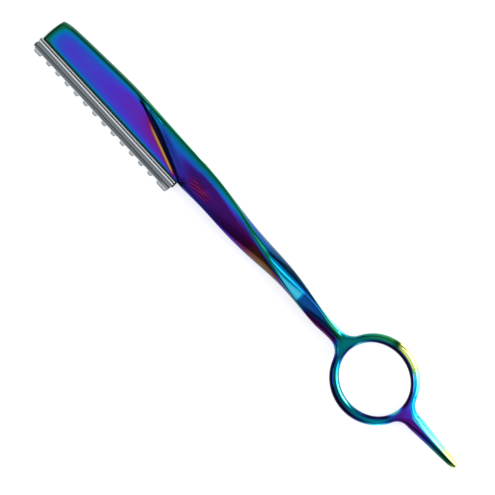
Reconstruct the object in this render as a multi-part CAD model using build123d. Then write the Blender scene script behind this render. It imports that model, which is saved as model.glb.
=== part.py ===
from build123d import *
import os
from math import cos, pi, radians, sin

# Hair thinning razor: a one-piece steel handle with a flat blade head, a twisted shank, a finger
# ring and a tail, a comb guard folded from sheet steel, and a replaceable blade with a folded spine.
# It is drawn with x = 0 at the head's tip, y = 0 at the head's slot edge and z = 0 on the middle
# plane, with x running to the tail and the comb guard on the -y side.  At the end all pieces move
# together, so that the origin lies under the middle of the razor as it lies on its flat side.

# --- blade: a strip of steel with a sheet folded over its back ---
BLADE_LENGTH = 60.3
BLADE_THICKNESS = 0.25
BLADE_HEIGHT = 9.1          # cutting edge to the back of the strip
BEVEL_HEIGHT = 1.0          # ground part beside the cutting edge
EDGE_THICKNESS = 0.04       # what the grinding leaves of the cutting edge
SPINE_SHEET = 0.35
SPINE_HEIGHT = 3.0
EDGE_SHOW = 0.25            # how far the cutting edge stands out of the guard's gaps

# --- comb guard: one folded sheet with a rolled hem along each leaf ---
GUARD_SHEET = 0.35
GUARD_OVERHANG = 0.75       # how far the guard reaches past the front of the blade
GUARD_TAIL = 0.15           # and past its rear
BEAD_DIAMETER = 0.54        # the rolled hem
LEAF_HEIGHT = 2.35          # hem to the upper bend
SLOPE_HEIGHT = 1.0          # upper bend to the bottom of the gaps
TOOTH_DEPTH = 1.1           # bottom of the gaps to the tooth tips
GAP_HALF = 0.85             # half the outer thickness at the bottom of the gaps
NOSE_HALF = 0.55            # half the outer thickness at the tooth tips
BEND_GROOVE = 0.1           # depth of the grooves pressed beside the hem and the upper bend
TOOTH_PITCH = 4.2
GAP_SHARE = 0.524           # of the pitch; the rest is the tooth
TOOTH_ROUND_SHARE = 0.375   # corner radius of a tooth's tip, as a share of its width
END_TOOTH = 3.0             # least length of the tooth at each end
GUARD_END_SLANT = 1.1       # how far the front end leans back towards its teeth
GROOVE_PLACE = 0.8          # middle of the hem to the groove below it, in hem diameters

# --- fits ---
BLADE_CLEARANCE = 0.08      # blade and spine to the walls of their slot
BLADE_SET_BACK = 0.3        # head's tip to the front of the blade
SLOT_END_CLEARANCE = 0.2    # behind the blade
GUARD_CLEARANCE = 0.1       # guard to the head and to the rail it slides on
RAIL_NECK_WALL = 0.55       # wall of the rail beside the slot, where the hems lie
RAIL_FOOT_WALL = 0.85       # wall of the rail below the hems
RAIL_FOOT_HEIGHT = 1.4
RAIL_END_WALL = 0.4         # closes the slot behind the blade

# --- blade head: a flat plate whose faces end in a slanted edge ---
HEEL = 0.7                  # end of the slot to the rear corner of the flat faces
HEAD_THICKNESS = 5.0
TIP_HEIGHT = 8.6            # slot edge to top edge at the tip
HEAD_HEIGHT = 10.9          # the same at the highest place
HIGH_POINT = 35.0           # tip to the highest place
TIP_BOW = 0.3               # bulge of the tip edge
TIP_LEAN = 0.6              # how far the tip edge leans back
CREASE_DROP = 1.9           # top edge down to the start of the slanted edge
CREASE_LEAD = 6.0           # the slanted edge leaves the top edge this far before that
TIP_CORNER_ROUND = 1.2
HEAD_EDGE_ROUND = 0.7
RAIL_SET_BACK = 0.6         # head's tip to the front of the rail

# --- twisted shank: named sections, each with its place, lower edge, height, depth and the turn of
# its first ridge, counted in degrees from the top edge towards the viewer ---
SHANK_LENGTH = 71.4         # rear corner of the head to the finger ring
INNER_LOW = 0.2             # the stretch of the shank that lies inside the head
INNER_HEIGHT = 10.6
INNER_DEPTH = 3.5
INNER_RIDGE = 2
ROOT_LOW = -0.3             # the root stands a little below the slot edge, as the guard's stop
ROOT_HEIGHT = 10.65
ROOT_DEPTH = 5.4
ROOT_RIDGE = 14
SHOULDER_PLACE = 0.18       # places are shares of the shank's length
SHOULDER_LOW = 0.31
SHOULDER_HEIGHT = 9.7
SHOULDER_DEPTH = 6.6
SHOULDER_RIDGE = 34
BELLY_PLACE = 0.42
BELLY_LOW = 0.8
BELLY_HEIGHT = 8.0
BELLY_DEPTH = 7.4
BELLY_RIDGE = 74
WAIST_PLACE = 0.63
WAIST_LOW = 1.6
WAIST_HEIGHT = 6.5
WAIST_DEPTH = 6.2
WAIST_RIDGE = 116
WRIST_PLACE = 0.84
WRIST_LOW = 1.55
WRIST_HEIGHT = 5.1
WRIST_DEPTH = 5.0
WRIST_RIDGE = 164
NECK_PLACE = 0.94
NECK_LOW = 1.9
NECK_HEIGHT = 4.5
NECK_DEPTH = 4.2
NECK_RIDGE = 200
RIDGE_SHARPNESS = 0.1       # 0 gives an ellipse, 0.125 a section with three sharp corners
ROOT_SHARPNESS = 0.05       # the ridges fade towards the head and the ring
SHANK_SECTIONS = 30         # sections from which the twist is built up
SECTION_POINTS = 24         # points on each of them

# --- finger ring ---
RING_BORE_LONG = 23.8       # inner oval, along the razor
RING_BORE_SHORT = 21.2      # inner oval, across it
RING_OUTER_LONG = 29.1      # outer oval, along and across
RING_OUTER_SHORT = 27.9
RING_THICKNESS = 3.2
RING_TURN = -5.6            # degrees from the razor's line to the long way of the oval
RING_RISE = 3.75            # slot edge to the ring's centre
RING_EDGE_ROUND = 1.2
RING_SINK = 0.2             # the bars that end inside the band lie this far under its faces
SHANK_FLARE = 4.5           # radius where the neck widens into the ring
TAIL_FLARE = 3.2            # radius where the ring runs out into the tail
FLARE_MARGIN = 0.8          # straight stretch of the ring's plate past each flare

# --- tail ---
TAIL_LENGTH = 22.5          # behind the ring
TAIL_ROOT_HEIGHT = 5.1
TAIL_ROOT_DEPTH = 3.9
TAIL_MIDDLE_HEIGHT = 4.0
TAIL_MIDDLE_DEPTH = 3.2
TAIL_TIP_HEIGHT = 2.9
TAIL_TIP_DEPTH = 2.6
TAIL_END_LENGTH = 2.0       # the last stretch, drawn in to the blunt end
TAIL_END_HEIGHT = 1.2
TAIL_END_DEPTH = 1.1
TAIL_RIDGE = 90             # its ridge faces the viewer
TAIL_RIDGE_SHARPNESS = 0.08
TAIL_SECTIONS = 12

# --- heights and widths worked out from the above ---
BEAD_Y = -GUARD_CLEARANCE - BEAD_DIAMETER / 2
FOOT_TOP_Y = -2 * GUARD_CLEARANCE - BEAD_DIAMETER
FOOT_BOTTOM_Y = FOOT_TOP_Y - RAIL_FOOT_HEIGHT
BEND_Y = BEAD_Y - LEAF_HEIGHT
GAP_Y = BEND_Y - SLOPE_HEIGHT
GUARD_TIP_Y = GAP_Y - TOOTH_DEPTH
EDGE_Y = GAP_Y - EDGE_SHOW
BLADE_BACK_Y = EDGE_Y + BLADE_HEIGHT
SPINE_TOP_Y = BLADE_BACK_Y + SPINE_SHEET

STRIP_SLOT_HALF = BLADE_THICKNESS / 2 + BLADE_CLEARANCE
SPINE_HALF = BLADE_THICKNESS / 2 + SPINE_SHEET
RAIL_NECK_HALF = STRIP_SLOT_HALF + RAIL_NECK_WALL
RAIL_FOOT_HALF = STRIP_SLOT_HALF + RAIL_FOOT_WALL
BEAD_Z = RAIL_NECK_HALF + GUARD_CLEARANCE + BEAD_DIAMETER / 2
LEAF_OUT = RAIL_FOOT_HALF + GUARD_CLEARANCE + GUARD_SHEET

BLADE_REAR_X = BLADE_SET_BACK + BLADE_LENGTH
SLOT_END_X = BLADE_REAR_X + SLOT_END_CLEARANCE
HEAD_LENGTH = SLOT_END_X + HEEL
GUARD_X = BLADE_SET_BACK - GUARD_OVERHANG
GUARD_LENGTH = GUARD_OVERHANG + BLADE_LENGTH + GUARD_TAIL
GAP_WIDTH = GAP_SHARE * TOOTH_PITCH
TOOTH_ROUND = TOOTH_ROUND_SHARE * (TOOTH_PITCH - GAP_WIDTH)
GAP_COUNT = int((GUARD_LENGTH - 2 * END_TOOTH - GAP_WIDTH) / TOOTH_PITCH) + 1

RING_X = HEAD_LENGTH + SHANK_LENGTH + RING_OUTER_LONG / 2
RING_FAR_X = RING_X + RING_OUTER_LONG / 2
RING_BAND = (RING_OUTER_LONG - RING_BORE_LONG) / 2
BURIED_DEPTH = RING_THICKNESS - 2 * RING_SINK
NEAR = 0.01                 # how closely an edge's place is matched when it is picked


def slab(face, thickness):
    """A face drawn on the middle plane, given its thickness equally to both sides."""
    return Pos(0, 0, -thickness / 2) * extrude(face, thickness)


def block(x0, x1, y0, y1, z_half):
    """A block between two x and two y values, centred on the middle plane."""
    return Pos((x0 + x1) / 2, (y0 + y1) / 2, 0) * Box(x1 - x0, y1 - y0, 2 * z_half)


def smooth_step(stations, x):
    """The stations' values at x. Between two stations each value follows a cubic, whose slope at a
    station is that of the line between the stations on its two sides."""
    last = len(stations) - 1
    i = 0
    while i < last - 1 and x > stations[i + 1][0]:
        i += 1
    before = stations[max(i - 1, 0)]
    start = stations[i]
    end = stations[i + 1]
    after = stations[min(i + 2, last)]
    span = end[0] - start[0]
    t = (x - start[0]) / span
    values = []
    for a, b, c, d in zip(before[1:], start[1:], end[1:], after[1:]):
        slope_b = (c - a) / (end[0] - before[0]) * span
        slope_c = (d - b) / (after[0] - start[0]) * span
        rise = (3 - 2 * t) * t * t
        values.append(b + (c - b) * rise + slope_b * t * (1 - t) ** 2 - slope_c * t * t * (1 - t))
    return values


def bar_section(x, low, height, depth, ridge, sharpness):
    """A closed section with three soft corners and the same width in every direction before it is
    stretched to its height and depth: the line that touches it at a turn t from its first corner
    lies 1 + sharpness * cos(3 t) from the middle."""
    points = []
    for i in range(SECTION_POINTS):
        angle = 2 * pi * i / SECTION_POINTS
        turn = angle - radians(ridge)
        reach = 1 + sharpness * cos(3 * turn)
        slope = -3 * sharpness * sin(3 * turn)
        across = reach * cos(angle) - slope * sin(angle)
        up = reach * sin(angle) + slope * cos(angle)
        points.append((x, low + height / 2 * (1 + across), depth / 2 * up))
    return Wire([Spline(*points, periodic=True)])


def lofted_bar(stations, count):
    """A bar through evenly spaced sections, worked out between its stations."""
    first = stations[0][0]
    step = (stations[-1][0] - first) / count
    places = [first + step * i for i in range(count)] + [stations[-1][0]]
    wires = [bar_section(x, *smooth_step(stations, x)) for x in places]
    return Solid.make_loft(wires, ruled=True)


def make_head():
    """The flat plate of the head: its faces end in the slanted edge that runs down to the heel."""
    tip_top = (TIP_LEAN, TIP_HEIGHT)
    high = (HIGH_POINT - CREASE_LEAD, HEAD_HEIGHT)
    crease_top = (HIGH_POINT, HEAD_HEIGHT - CREASE_DROP)
    heel = (HEAD_LENGTH, 0)
    outline = make_face([
        ThreePointArc((0, 0), (TIP_LEAN / 2 - TIP_BOW, TIP_HEIGHT / 2), tip_top),
        Spline(tip_top, high, tangents=((1, 0.12), (1, 0))),
        Spline(high, crease_top, heel, tangents=((1, -0.2), (1, -0.65))),
        Line(heel, (0, 0)),
    ])
    plate = slab(outline, HEAD_THICKNESS)
    corner = [e for e in plate.edges() if e.geom_type == GeomType.LINE
              and abs(e.center().Y - TIP_HEIGHT) < NEAR]
    plate = fillet(corner, TIP_CORNER_ROUND)
    rims = [e for e in plate.edges() if abs(abs(e.center().Z) - HEAD_THICKNESS / 2) < NEAR]
    return fillet(rims, HEAD_EDGE_ROUND)


def make_rail():
    """The rail below the slot edge, with a foot that the guard's hems catch."""
    end = SLOT_END_X + RAIL_END_WALL
    neck = block(RAIL_SET_BACK, end, FOOT_BOTTOM_Y, HEAD_EDGE_ROUND, RAIL_NECK_HALF)
    foot = block(RAIL_SET_BACK, end, FOOT_BOTTOM_Y, FOOT_TOP_Y, RAIL_FOOT_HALF)
    return neck + foot


def make_blade_slot():
    """The space for the strip, and the wider one above it for the spine, both open at the tip."""
    front = -HEAD_THICKNESS
    strip = block(front, SLOT_END_X, FOOT_BOTTOM_Y - 1, SPINE_TOP_Y, STRIP_SLOT_HALF)
    spine = block(front, SLOT_END_X, SPINE_TOP_Y - SPINE_HEIGHT - BLADE_CLEARANCE,
                  SPINE_TOP_Y + BLADE_CLEARANCE, SPINE_HALF + BLADE_CLEARANCE)
    return strip + spine


def make_shank():
    """The twisted shank, with its root inside the head and its end inside the ring's band."""
    root = HEAD_LENGTH
    buried = (INNER_LOW, INNER_HEIGHT, INNER_DEPTH, INNER_RIDGE, 0)
    return lofted_bar([
        (HIGH_POINT - CREASE_LEAD, *buried),
        ((HIGH_POINT + root) / 2, *buried),
        (root, ROOT_LOW, ROOT_HEIGHT, ROOT_DEPTH, ROOT_RIDGE, ROOT_SHARPNESS),
        (root + SHOULDER_PLACE * SHANK_LENGTH,
         SHOULDER_LOW, SHOULDER_HEIGHT, SHOULDER_DEPTH, SHOULDER_RIDGE, RIDGE_SHARPNESS),
        (root + BELLY_PLACE * SHANK_LENGTH,
         BELLY_LOW, BELLY_HEIGHT, BELLY_DEPTH, BELLY_RIDGE, RIDGE_SHARPNESS),
        (root + WAIST_PLACE * SHANK_LENGTH,
         WAIST_LOW, WAIST_HEIGHT, WAIST_DEPTH, WAIST_RIDGE, RIDGE_SHARPNESS),
        (root + WRIST_PLACE * SHANK_LENGTH,
         WRIST_LOW, WRIST_HEIGHT, WRIST_DEPTH, WRIST_RIDGE, RIDGE_SHARPNESS),
        (root + NECK_PLACE * SHANK_LENGTH,
         NECK_LOW, NECK_HEIGHT, NECK_DEPTH, NECK_RIDGE, ROOT_SHARPNESS),
        (root + SHANK_LENGTH + RING_BAND / 2,
         NECK_LOW, NECK_HEIGHT, BURIED_DEPTH, NECK_RIDGE, 0),
    ], SHANK_SECTIONS)


def make_ring():
    """The finger ring with the flares of the shank's neck and of the tail."""
    outer = Ellipse(RING_OUTER_LONG / 2, RING_OUTER_SHORT / 2)
    bore = Ellipse(RING_BORE_LONG / 2, RING_BORE_SHORT / 2)
    turned = Pos(RING_X, RING_RISE) * Rot(0, 0, RING_TURN)
    neck_start = HEAD_LENGTH + SHANK_LENGTH - SHANK_FLARE - FLARE_MARGIN
    tail_stop = RING_FAR_X + TAIL_FLARE + FLARE_MARGIN
    neck = Pos((neck_start + RING_X) / 2, NECK_LOW + NECK_HEIGHT / 2) * Rectangle(
        RING_X - neck_start, NECK_HEIGHT)
    tail = Pos((RING_X + tail_stop) / 2, RING_RISE) * Rectangle(tail_stop - RING_X, TAIL_ROOT_HEIGHT)
    plate = slab(turned * outer + neck + tail, RING_THICKNESS)

    def hollow_corners(solid, low, high):
        return [e for e in solid.edges() if abs(e.length - RING_THICKNESS) < NEAR
                and low + NEAR < e.center().X < high - NEAR]

    plate = fillet(hollow_corners(plate, neck_start, RING_X), SHANK_FLARE)
    plate = fillet(hollow_corners(plate, RING_FAR_X - TAIL_FLARE, tail_stop), TAIL_FLARE)
    plate -= slab(turned * bore, 2 * RING_THICKNESS)
    rims = [e for e in plate.edges() if abs(abs(e.center().Z) - RING_THICKNESS / 2) < NEAR
            and neck_start + NEAR < e.center().X < tail_stop - NEAR]
    return fillet(rims, RING_EDGE_ROUND)


def make_tail():
    """The tapered finger rest, from inside the ring's band to its blunt end."""
    end = RING_FAR_X + TAIL_LENGTH
    places_and_sizes = [
        (RING_FAR_X - RING_BAND / 2, TAIL_ROOT_HEIGHT, BURIED_DEPTH, 0),
        (RING_FAR_X + TAIL_FLARE, TAIL_ROOT_HEIGHT, TAIL_ROOT_DEPTH, TAIL_RIDGE_SHARPNESS),
        (RING_FAR_X + TAIL_LENGTH / 2, TAIL_MIDDLE_HEIGHT, TAIL_MIDDLE_DEPTH, TAIL_RIDGE_SHARPNESS),
        (end - TAIL_END_LENGTH, TAIL_TIP_HEIGHT, TAIL_TIP_DEPTH, TAIL_RIDGE_SHARPNESS),
        (end, TAIL_END_HEIGHT, TAIL_END_DEPTH, TAIL_RIDGE_SHARPNESS),
    ]
    return lofted_bar([(x, RING_RISE - height / 2, height, depth, TAIL_RIDGE, sharpness)
                       for x, height, depth, sharpness in places_and_sizes], TAIL_SECTIONS)


def make_handle():
    """The whole handle as one casting, with its rail and its blade slot."""
    body = make_head() + make_shank()
    body = body + make_ring()
    body = body + make_tail()
    return body + make_rail() - make_blade_slot()


def make_strip():
    """The blade's strip, ground to a wedge along its lower edge."""
    half = BLADE_THICKNESS / 2
    edge_half = EDGE_THICKNESS / 2
    section = Polyline((EDGE_Y, -edge_half), (EDGE_Y + BEVEL_HEIGHT, -half), (BLADE_BACK_Y, -half),
                       (BLADE_BACK_Y, half), (EDGE_Y + BEVEL_HEIGHT, half), (EDGE_Y, edge_half),
                       close=True)
    return along_blade(make_face(section), BLADE_SET_BACK, BLADE_LENGTH)


def along_blade(section, start, length):
    """A section drawn with x for the height and y for the depth, carried along the razor."""
    plane = Plane(origin=(start, 0, 0), x_dir=(0, 1, 0), z_dir=(1, 0, 0))
    return extrude(plane * section, length)


def make_spine(strip):
    """The sheet folded over the strip's back."""
    low = SPINE_TOP_Y - SPINE_HEIGHT
    spine = block(BLADE_SET_BACK, BLADE_REAR_X, low, SPINE_TOP_Y, SPINE_HALF)
    folds = [e for e in spine.edges() if abs(e.center().Y - SPINE_TOP_Y) < NEAR
             and e.length > BLADE_LENGTH - 1]
    return fillet(folds, SPINE_SHEET) - strip


def guard_outline():
    """The guard seen from the side: a band with slanted front, and rounded teeth below it."""
    x0 = GUARD_X
    x1 = GUARD_X + GUARD_LENGTH
    middle = (x0 + x1) / 2
    front = x0 + GUARD_END_SLANT
    outline = make_face(Polyline((x0, 0), (x1, 0), (x1, GAP_Y), (front, GAP_Y),
                                 (x0, BEAD_Y - BEAD_DIAMETER), close=True))
    first_gap = middle - TOOTH_PITCH * (GAP_COUNT - 1) / 2
    edges = [front]
    for i in range(GAP_COUNT):
        gap = first_gap + TOOTH_PITCH * i
        edges += [gap - GAP_WIDTH / 2, gap + GAP_WIDTH / 2]
    edges.append(x1)
    for start, end in zip(edges[::2], edges[1::2]):
        height = 2 * TOOTH_DEPTH + TOOTH_ROUND
        tooth = RectangleRounded(end - start, height, TOOTH_ROUND)
        outline += Pos((start + end) / 2, GUARD_TIP_Y + height / 2) * tooth
    return outline


def both_sides(side):
    """The face between a line of height and depth values and its mirror image."""
    return make_face(Polyline(*side, *[(y, -z) for y, z in reversed(side)], close=True))


def make_guard():
    """The comb guard: a folded sheet with hems and slanted leaves, cut to its toothed outline."""
    groove = BEAD_Y - GROOVE_PLACE * BEAD_DIAMETER
    shoulder = groove - GUARD_SHEET
    bead_out = BEAD_Z + BEAD_DIAMETER / 2
    leaf_in = LEAF_OUT - GUARD_SHEET
    side = [(BEAD_Y, bead_out), (groove, bead_out - BEND_GROOVE), (shoulder, LEAF_OUT),
            (BEND_Y, LEAF_OUT), (BEND_Y - BEND_GROOVE, LEAF_OUT - BEND_GROOVE), (GAP_Y, GAP_HALF),
            (GUARD_TIP_Y + NOSE_HALF / 3, NOSE_HALF), (GUARD_TIP_Y, NOSE_HALF / 2)]
    hollow = [(BEAD_Y, leaf_in), (BEND_Y, leaf_in), (GAP_Y, GAP_HALF - GUARD_SHEET),
              (GUARD_TIP_Y + NOSE_HALF / 3 + GUARD_SHEET, NOSE_HALF - GUARD_SHEET)]
    sheet = both_sides(side) - both_sides(hollow)
    for sign in (1, -1):
        sheet += Pos(BEAD_Y, sign * BEAD_Z) * Circle(BEAD_DIAMETER / 2)
    folded = along_blade(sheet, GUARD_X, GUARD_LENGTH)
    return folded & slab(guard_outline(), 4 * LEAF_OUT)


def main():
    strip = make_strip()
    pieces = {
        "handle": make_handle(),
        "comb_guard": make_guard(),
        "blade_strip": strip,
        "blade_spine": make_spine(strip),
    }
    boxes = [piece.bounding_box() for piece in pieces.values()]
    middle_x = (min(b.min.X for b in boxes) + max(b.max.X for b in boxes)) / 2
    middle_y = (min(b.min.Y for b in boxes) + max(b.max.Y for b in boxes)) / 2
    lowest = min(b.min.Z for b in boxes)
    os.makedirs("parts", exist_ok=True)
    for name, piece in pieces.items():
        export_step(Pos(-middle_x, -middle_y, -lowest) * piece, f"parts/{name}.step")
    print(f"moved by {-middle_x:.4f}, {-middle_y:.4f}, {-lowest:.4f}; {GAP_COUNT} gaps")


main()
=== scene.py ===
# %% [markdown]
# # A hair thinning razor
# This file dresses a finished CAD model of a barber's thinning razor.  The CAD says where
# everything is; here each part gets a smooth skin and a worked-out finish, whose colour
# also carries painted light and shade.

# %% Load the imported model
import bmesh
import bpy
import numpy as np
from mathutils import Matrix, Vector


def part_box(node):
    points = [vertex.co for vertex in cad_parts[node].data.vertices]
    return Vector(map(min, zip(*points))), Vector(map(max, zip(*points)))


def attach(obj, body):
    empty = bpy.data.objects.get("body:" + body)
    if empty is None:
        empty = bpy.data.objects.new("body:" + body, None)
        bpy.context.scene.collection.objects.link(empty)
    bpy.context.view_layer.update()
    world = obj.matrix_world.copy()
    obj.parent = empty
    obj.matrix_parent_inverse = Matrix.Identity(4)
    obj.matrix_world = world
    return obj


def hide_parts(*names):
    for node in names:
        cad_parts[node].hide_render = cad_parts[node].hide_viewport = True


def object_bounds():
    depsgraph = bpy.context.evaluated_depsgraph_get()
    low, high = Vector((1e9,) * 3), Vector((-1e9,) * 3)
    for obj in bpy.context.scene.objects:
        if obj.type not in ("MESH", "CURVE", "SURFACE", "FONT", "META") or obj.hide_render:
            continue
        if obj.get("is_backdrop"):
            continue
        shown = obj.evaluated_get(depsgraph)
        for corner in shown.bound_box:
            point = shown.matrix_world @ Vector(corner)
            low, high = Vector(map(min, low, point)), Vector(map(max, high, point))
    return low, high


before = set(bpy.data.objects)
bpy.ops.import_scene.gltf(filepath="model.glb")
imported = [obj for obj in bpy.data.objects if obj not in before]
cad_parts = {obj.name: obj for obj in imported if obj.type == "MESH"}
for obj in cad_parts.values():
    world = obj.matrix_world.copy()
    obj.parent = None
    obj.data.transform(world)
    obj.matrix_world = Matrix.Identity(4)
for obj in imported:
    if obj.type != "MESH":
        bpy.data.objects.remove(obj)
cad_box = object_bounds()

# %% [markdown]
# ## The drawing's own axes
# The razor is easier to think about in millimetres from its own landmarks: x = 0 at the head's tip,
# y = 0 along the slot edge where the guard hangs, z = 0 on the middle plane.  The blade strip's box
# shows where that origin lies, because the blade starts 0.3 mm behind the tip and its back edge is
# 5.13 mm above the slot edge.

# %% Work in millimetres from the head's tip
MM = 0.001
BLADE_SET_BACK = 0.3
BLADE_BACK_Y = 5.13
strip_low, strip_high = (np.array(corner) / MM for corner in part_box("blade_strip"))
ORIGIN = np.array([strip_low[0] - BLADE_SET_BACK, strip_high[1] - BLADE_BACK_Y,
                   (strip_low[2] + strip_high[2]) / 2])
BLADE_START, BLADE_STOP = strip_low[0] - ORIGIN[0], strip_high[0] - ORIGIN[0]
print("drawing origin in the shared frame, mm:", ORIGIN.round(3))

# %% [markdown]
# ## From number arrays to a mesh
# Every skin below is an array of points and an array of four-cornered faces.  Points that fall
# together are welded, which closes seams and turns a row of equal points into a pole.  A face that
# loses one corner that way becomes a triangle, and one that loses more is dropped.

# %% Weld, and build a piece
def weld(points, faces):
    """Points that agree to a hundred-thousandth of a millimetre become one point."""
    keys = np.round(points, 5) + 0.0
    _, first, inverse = np.unique(keys, axis=0, return_index=True, return_inverse=True)
    return points[first], inverse.reshape(-1)[faces]


def clean_faces(faces):
    """Four-cornered faces stay, those that lost one corner in the weld become triangles, and those
    that lost more go."""
    keep = faces != np.roll(faces, 1, axis=1)
    corners = keep.sum(axis=1)
    triangles = faces[corners == 3][keep[corners == 3]].reshape(-1, 3)
    return faces[corners == 4].tolist() + triangles.tolist()


def new_piece(name, points, faces, sharp_angle=35):
    """A mesh in metres, its faces turned outwards and shaded smooth between sharp edges."""
    mesh = bpy.data.meshes.new(name)
    mesh.from_pydata(((points + ORIGIN) * MM).tolist(), [], faces)
    mesh.validate()
    piece = bpy.data.objects.new(name, mesh)
    bpy.context.scene.collection.objects.link(piece)
    finish_mesh(mesh, sharp_angle)
    return piece


def welded_piece(name, points, faces):
    """A piece from a grid whose points may fall together."""
    points, faces = weld(points, faces)
    return new_piece(name, points, clean_faces(faces))


def finish_mesh(mesh, sharp_angle):
    """Normals outwards, loose points out, smooth shading with edges kept above an angle."""
    work = bmesh.new()
    work.from_mesh(mesh)
    bmesh.ops.delete(work, geom=[v for v in work.verts if not v.link_faces], context="VERTS")
    bmesh.ops.recalc_face_normals(work, faces=work.faces)
    open_edges = sum(not e.is_manifold for e in work.edges)
    work.to_mesh(mesh)
    work.free()
    mesh.shade_smooth()
    mesh.set_sharp_from_angle(angle=np.radians(sharp_angle))
    print(f"{mesh.name}: {len(mesh.polygons)} faces, {open_edges} open edges")


def grid_faces(rows, columns, wrap_rows=False, wrap_columns=False):
    """The four-cornered faces between neighbours of a rows x columns grid of points."""
    number = np.arange(rows * columns).reshape(rows, columns)
    if wrap_rows:
        number = np.vstack([number, number[:1]])
    if wrap_columns:
        number = np.hstack([number, number[:, :1]])
    return np.stack([number[:-1, :-1], number[1:, :-1], number[1:, 1:], number[:-1, 1:]],
                    axis=-1).reshape(-1, 4)


# %% [markdown]
# ## Curves through a few known places
# A part that swells, tapers and twists is described by stations: its sizes at a few places along
# it.  Between them a cubic runs on with the slope of the stations on its two sides, the same
# rule as in the CAD model, so the skin keeps near the solid.

# %% Values between stations, and soft steps
def between(stations, x):
    """Each station is (place, value, value...).  The result has a row for each x and a column for
    each value: a cubic between neighbours, whose end slopes are those of the stations around."""
    table = np.array(stations, dtype=float)
    place, value = table[:, 0], table[:, 1:]
    count = len(place)
    i = np.clip(np.searchsorted(place, x, side="right") - 1, 0, count - 2)
    before, after = np.maximum(i - 1, 0), np.minimum(i + 2, count - 1)
    span = (place[i + 1] - place[i])[:, None]
    t = np.clip((x - place[i])[:, None] / span, 0, 1)
    slope_a = (value[i + 1] - value[before]) / (place[i + 1] - place[before])[:, None] * span
    slope_b = (value[after] - value[i]) / (place[after] - place[i])[:, None] * span
    rise = (3 - 2 * t) * t * t
    return (value[i] + (value[i + 1] - value[i]) * rise
            + slope_a * t * (1 - t) ** 2 - slope_b * t * t * (1 - t))


def soft_step(x, start, end):
    """0 before start, 1 after end, and 3t^2 - 2t^3 between them."""
    t = np.clip((x - start) / (end - start), 0, 1)
    return t * t * (3 - 2 * t)


# %% [markdown]
# ## The twisted shank
# The shank is a bar with three soft ridges that wind round it.  Its section is a curve of constant
# width, drawn from its tangent lines: a line at a turn t from the first ridge lies
# 1 + s cos(3t) from the middle.  With s = 0 it is a plain oval, and near s = 1/8 its corners
# become sharp.  Drawing it by tangent angle puts more points where it curves most, so the
# ridges reflect cleanly.

# %% Shank sections
HEEL_X = 61.5
NECK_X = 128.6
SIDE = 64                      # steps from the lower to the upper edge, on each side

SHANK = [  # x, lower edge, height, depth, turn of the first ridge, sharpness
    (29.0, 0.05, 10.8, 4.5, 2, 0.0),
    (48.25, 0.0, 10.6, 4.6, 4, 0.01),
    (61.5, -0.3, 10.65, 5.4, 14, 0.05),
    (74.4, 0.42, 9.5, 6.6, 34, 0.1),
    (91.5, 0.97, 7.95, 7.36, 74, 0.1),
    (106.5, 1.62, 6.3, 6.2, 116, 0.1),
    (121.5, 1.6, 4.95, 5.0, 164, 0.08),
    (128.6, 1.9, 4.5, 4.2, 196, 0.0),
    (134.0, 1.9, 4.5, 3.4, 206, 0.0),
]


def bar_loop(stations, x, angle):
    """Points of the section at each x and each tangent angle (0 = upper edge, 90 = front)."""
    low, height, depth, ridge, sharp = between(stations, x).T[:, :, None]
    turn = angle[None, :] - np.radians(ridge)
    reach = 1 + sharp * np.cos(3 * turn)
    slope = -3 * sharp * np.sin(3 * turn)
    across = reach * np.cos(angle) - slope * np.sin(angle)
    up = reach * np.sin(angle) + slope * np.cos(angle)
    return np.stack([x[:, None] + 0 * across, low + height / 2 * (1 + across), depth / 2 * up],
                    axis=-1)


FRONT_ANGLE = np.pi * (1 - np.arange(SIDE + 1) / SIDE)
BACK_ANGLE = -FRONT_ANGLE[1:-1][::-1]
LOOP_ANGLE = np.concatenate([FRONT_ANGLE, BACK_ANGLE])

# %% [markdown]
# ## The flat head and its slanted crease
# The head is a plate with a narrow bevel along the slot edge and a wide soft one along the top
# and the tip.  Each face ends in a slanted crease, past which the shank's surface lies a
# little lower.  The head is one more set of loops: for each x, rows of points run from the slot
# edge to the top.  From x = 32 on, one row is kept on the crease, so it stays clean however it
# slants.

# %% Head outline and crease
HEAD_HALF = 2.5
CROWN = 0.05                   # how much fuller the flat is in its middle
SLOT_BEVEL = 0.5
TOP_BEVEL = 1.9
TOP_EDGE = [(-0.4, 7.6), (0.0, 8.15), (0.35, 8.45), (0.8, 8.65), (2, 8.95), (4.5, 9.3), (9.5, 9.69),
            (14.4, 10.0), (19.4, 10.3), (24.3, 10.6), (30.5, 10.85), (34.9, 10.9), (38, 10.84),
            (44.2, 10.7), (49.1, 10.57), (57.8, 10.45), (64.0, 10.3)]
CREASE = [(24.0, 8.9), (30.0, 9.0), (34.5, 8.85), (37.5, 8.3), (44.2, 6.2), (52.0, 3.69),
          (59.7, 1.08), (62.0, 0.2), (64.0, -0.5)]
CREASE_WIDTH = 0.6
CREASE_EXTRA, EXTRA_ENDS = 2.0, (31, 42)          # more width where the crease begins; x
STEP_GROWS = (31, 46)          # x between which the step behind the crease comes in
STEP_RISE = 0.3                # how far the section may stand above the plate
HEAD_TO_SHANK = (60.6, 63.2)   # x between which the head's loops become the shank's
CREASE_SQUARE = 0.93           # height above the crease times this is about the distance from it
FACE_ROWS = (5, 10, 26, 46)    # rows at the bevel's start and end, on the crease, at the top bevel


def spread(count):
    """Numbers from 0 to 1, closer together at both ends."""
    t = np.arange(1, count + 1) / count
    return t - 0.7 * np.sin(2 * np.pi * t) / (2 * np.pi)


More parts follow.
